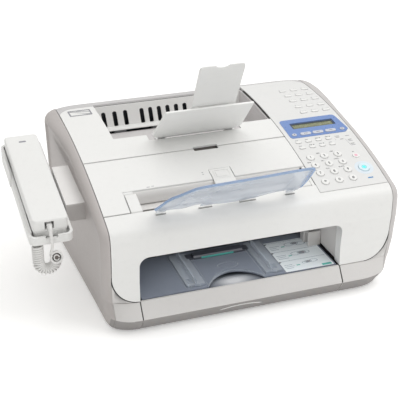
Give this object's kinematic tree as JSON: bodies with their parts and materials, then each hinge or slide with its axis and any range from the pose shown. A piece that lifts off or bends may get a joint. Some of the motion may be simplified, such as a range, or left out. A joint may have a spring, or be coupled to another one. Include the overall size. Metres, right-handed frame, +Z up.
{
  "type": "fax machine",
  "caption": "Compact desktop fax machine with side handset, document feeder, fold-out print flap, front paper tray and a sloping control panel with keypad.",
  "frame": {"origin": "on the table under the middle of the body's footprint", "axes": "+X to the machine's right as the user faces it, +Y to the rear, +Z up; the control panel is at +X and the handset at -X"},
  "size_m": [0.4638, 0.3587, 0.3016],
  "materials": {
    "white_shell": "fine satin moulding texture",
    "grey_shell": "satin warm grey",
    "smoke_clear": "translucent smoke blue plastic",
    "blue_clear": "translucent pale blue plastic",
    "blue_panel": "blue panel",
    "lcd": "olive display",
    "key_white": "satin",
    "key_pink": "pink translucent key",
    "key_cyan": "lit cyan key",
    "steel": "zinc-plated sheet",
    "black_plastic": "black moulding",
    "rubber": "soft rubber",
    "board": "green solder mask",
    "aluminium": "satin"
  },
  "bodies": {
    "housing": {"left_side_cover": "grey_shell", "right_side_cover": "grey_shell", "base_frame": "grey_shell", "front_cover": "white_shell", "top_cover": "white_shell", "rear_cover": "grey_shell", "output_chute": "grey_shell", "hinge_pins": "steel", "document_bed": "white_shell", "scan_unit": "black_plastic", "control_panel": "white_shell", "panel_bezel": "blue_panel", "lcd_module": "lcd", "engine_frame": "steel", "main_motor": "steel", "laser_unit": "black_plastic", "toner_cartridge": "black_plastic", "main_board": "board", "power_supply": "board", "rear_sockets": "black_plastic", "rubber_feet": "rubber", "cover_screws": "steel", "handset_bracket": "grey_shell", "handset_cradle": "white_shell", "handset_cord": "white_shell"},
    "output_flap": {"output_flap": "white_shell"},
    "output_extension": {"output_extension": "white_shell"},
    "adf_cover": {"adf_cover": "white_shell", "adf_upper_guide": "grey_shell"},
    "adf_feed_roller": {"adf_feed_roller": "rubber"},
    "adf_latch": {"adf_latch": "white_shell"},
    "document_guide_left": {"document_guide_left": "white_shell"},
    "document_guide_right": {"document_guide_right": "white_shell"},
    "document_tray": {"document_tray": "blue_clear"},
    "paper_tray": {"paper_tray": "grey_shell"},
    "dust_cover": {"dust_cover": "smoke_clear"},
    "paper_guide_left": {"paper_guide_left": "smoke_clear"},
    "paper_guide_right": {"paper_guide_right": "smoke_clear"},
    "pickup_roller": {"pickup_roller": "rubber"},
    "motor_pinion": {"motor_pinion": "black_plastic"},
    "fuser_roller": {"fuser_roller": "aluminium"},
    "hook_switch": {"hook_switch": "white_shell"},
    "handset": {"handset": "white_shell"},
    "one_touch_keys": {"one_touch_keys": "key_white"},
    "function_keys": {"function_keys": "key_white"},
    "menu_keys": {"menu_keys": "key_white"},
    "key_1": {"key_1": "key_white"},
    "key_2": {"key_2": "key_white"},
    "key_3": {"key_3": "key_white"},
    "key_4": {"key_4": "key_white"},
    "key_5": {"key_5": "key_white"},
    "key_6": {"key_6": "key_white"},
    "key_7": {"key_7": "key_white"},
    "key_8": {"key_8": "key_white"},
    "key_9": {"key_9": "key_white"},
    "key_star": {"key_star": "key_white"},
    "key_0": {"key_0": "key_white"},
    "key_hash": {"key_hash": "key_white"},
    "key_stop": {"key_stop": "key_pink"},
    "key_start": {"key_start": "key_cyan"}
  },
  "joints": [
    {"name": "output_flap_fold", "type": "hinge", "parent": "housing", "child": "output_flap", "pos_m": [0, 0.0174, 0.17872], "axis": [-1, 0, 0], "range_deg": [0, 122]},
    {"name": "output_extension_fold", "type": "hinge", "parent": "output_flap", "child": "output_extension", "pos_m": [0, -0.0385, 0.23744], "axis": [-1, 0, 0], "range_deg": [0, 158]},
    {"name": "adf_cover_lift", "type": "hinge", "parent": "housing", "child": "adf_cover", "pos_m": [0, -0.027, 0.16614], "axis": [-1, 0, 0], "range_deg": [0, 50]},
    {"name": "adf_feed_roller_spin", "type": "hinge", "parent": "adf_cover", "child": "adf_feed_roller", "pos_m": [0, -0.048, 0.156], "axis": [1, 0, 0], "continuous": true},
    {"name": "adf_latch_pull", "type": "hinge", "parent": "adf_cover", "child": "adf_latch", "pos_m": [0, -0.0682, 0.16229], "axis": [-1, 0, 0], "range_deg": [0, 10], "stiffness_Nm_per_rad": 0.02},
    {"name": "document_guide_left_slide", "type": "slide", "parent": "housing", "child": "document_guide_left", "axis": [1, 0, 0], "range_m": [0, 0.05]},
    {"name": "document_guide_right_slide", "type": "slide", "parent": "housing", "child": "document_guide_right", "axis": [-1, 0, 0], "range_m": [0, 0.05]},
    {"name": "document_tray_lift", "type": "slide", "parent": "housing", "child": "document_tray", "axis": [0, -0.7604, 0.6494], "range_m": [0, 0.06]},
    {"name": "paper_tray_pull", "type": "slide", "parent": "housing", "child": "paper_tray", "axis": [0, -1, 0], "range_m": [0, 0.16]},
    {"name": "dust_cover_lift", "type": "hinge", "parent": "paper_tray", "child": "dust_cover", "pos_m": [0, -0.052, 0.0404], "axis": [-1, 0, 0], "range_deg": [0, 22]},
    {"name": "paper_guide_left_slide", "type": "slide", "parent": "dust_cover", "child": "paper_guide_left", "axis": [-1, 0, 0], "range_m": [0, 0.055]},
    {"name": "paper_guide_right_slide", "type": "slide", "parent": "dust_cover", "child": "paper_guide_right", "axis": [1, 0, 0], "range_m": [0, 0.055]},
    {"name": "pickup_roller_spin", "type": "hinge", "parent": "housing", "child": "pickup_roller", "pos_m": [0, -0.038, 0.068], "axis": [1, 0, 0], "continuous": true},
    {"name": "motor_pinion_spin", "type": "hinge", "parent": "housing", "child": "motor_pinion", "pos_m": [0, -0.0139, 0.068], "axis": [1, 0, 0], "continuous": true},
    {"name": "fuser_roller_spin", "type": "hinge", "parent": "housing", "child": "fuser_roller", "pos_m": [0, 0.104, 0.112], "axis": [1, 0, 0], "continuous": true},
    {"name": "hook_switch_plunge", "type": "slide", "parent": "housing", "child": "hook_switch", "axis": [0, -0.1702, 0.9854], "range_m": [0, 0.003], "stiffness_N_per_m": 60, "springref_m": 0.003},
    {"name": "handset_lift", "type": "slide", "parent": "housing", "child": "handset", "axis": [0, -0.1702, 0.9854], "range_m": [0, 0.12]},
    {"name": "key_1_press", "type": "slide", "parent": "housing", "child": "key_1", "axis": [0, 0.2621, -0.965], "range_m": [0, 0.001], "stiffness_N_per_m": 400},
    {"name": "key_2_press", "type": "slide", "parent": "housing", "child": "key_2", "axis": [0, 0.2621, -0.965], "range_m": [0, 0.001], "stiffness_N_per_m": 400},
    {"name": "key_3_press", "type": "slide", "parent": "housing", "child": "key_3", "axis": [0, 0.2621, -0.965], "range_m": [0, 0.001], "stiffness_N_per_m": 400},
    {"name": "key_4_press", "type": "slide", "parent": "housing", "child": "key_4", "axis": [0, 0.2822, -0.9594], "range_m": [0, 0.001], "stiffness_N_per_m": 400},
    {"name": "key_5_press", "type": "slide", "parent": "housing", "child": "key_5", "axis": [0, 0.2822, -0.9594], "range_m": [0, 0.001], "stiffness_N_per_m": 400},
    {"name": "key_6_press", "type": "slide", "parent": "housing", "child": "key_6", "axis": [0, 0.2822, -0.9594], "range_m": [0, 0.001], "stiffness_N_per_m": 400},
    {"name": "key_7_press", "type": "slide", "parent": "housing", "child": "key_7", "axis": [0, 0.3023, -0.9532], "range_m": [0, 0.001], "stiffness_N_per_m": 400},
    {"name": "key_8_press", "type": "slide", "parent": "housing", "child": "key_8", "axis": [0, 0.3023, -0.9532], "range_m": [0, 0.001], "stiffness_N_per_m": 400},
    {"name": "key_9_press", "type": "slide", "parent": "housing", "child": "key_9", "axis": [0, 0.3023, -0.9532], "range_m": [0, 0.001], "stiffness_N_per_m": 400},
    {"name": "key_star_press", "type": "slide", "parent": "housing", "child": "key_star", "axis": [0, 0.3225, -0.9466], "range_m": [0, 0.001], "stiffness_N_per_m": 400},
    {"name": "key_0_press", "type": "slide", "parent": "housing", "child": "key_0", "axis": [0, 0.3225, -0.9466], "range_m": [0, 0.001], "stiffness_N_per_m": 400},
    {"name": "key_hash_press", "type": "slide", "parent": "housing", "child": "key_hash", "axis": [0, 0.3225, -0.9466], "range_m": [0, 0.001], "stiffness_N_per_m": 400},
    {"name": "key_stop_press", "type": "slide", "parent": "housing", "child": "key_stop", "axis": [0, 0.2726, -0.9621], "range_m": [0, 0.001], "stiffness_N_per_m": 400},
    {"name": "key_start_press", "type": "slide", "parent": "housing", "child": "key_start", "axis": [0, 0.3031, -0.9529], "range_m": [0, 0.001], "stiffness_N_per_m": 400},
    {"name": "one_touch_keys_press", "type": "slide", "parent": "housing", "child": "one_touch_keys", "axis": [0, 0.0776, -0.997], "range_m": [0, 0.0008], "stiffness_N_per_m": 600},
    {"name": "function_keys_press", "type": "slide", "parent": "housing", "child": "function_keys", "axis": [0, 0.2258, -0.9742], "range_m": [0, 0.0008], "stiffness_N_per_m": 600},
    {"name": "menu_keys_press", "type": "slide", "parent": "housing", "child": "menu_keys", "axis": [0, 0.1954, -0.9807], "range_m": [0, 0.0008], "stiffness_N_per_m": 600}
  ],
  "couplings": [
    {"joint": "document_guide_right_slide", "follows": "document_guide_left_slide", "ratio": 1},
    {"joint": "paper_guide_right_slide", "follows": "paper_guide_left_slide", "ratio": 1},
    {"joint": "motor_pinion_spin", "follows": "pickup_roller_spin", "ratio": -2}
  ]
}
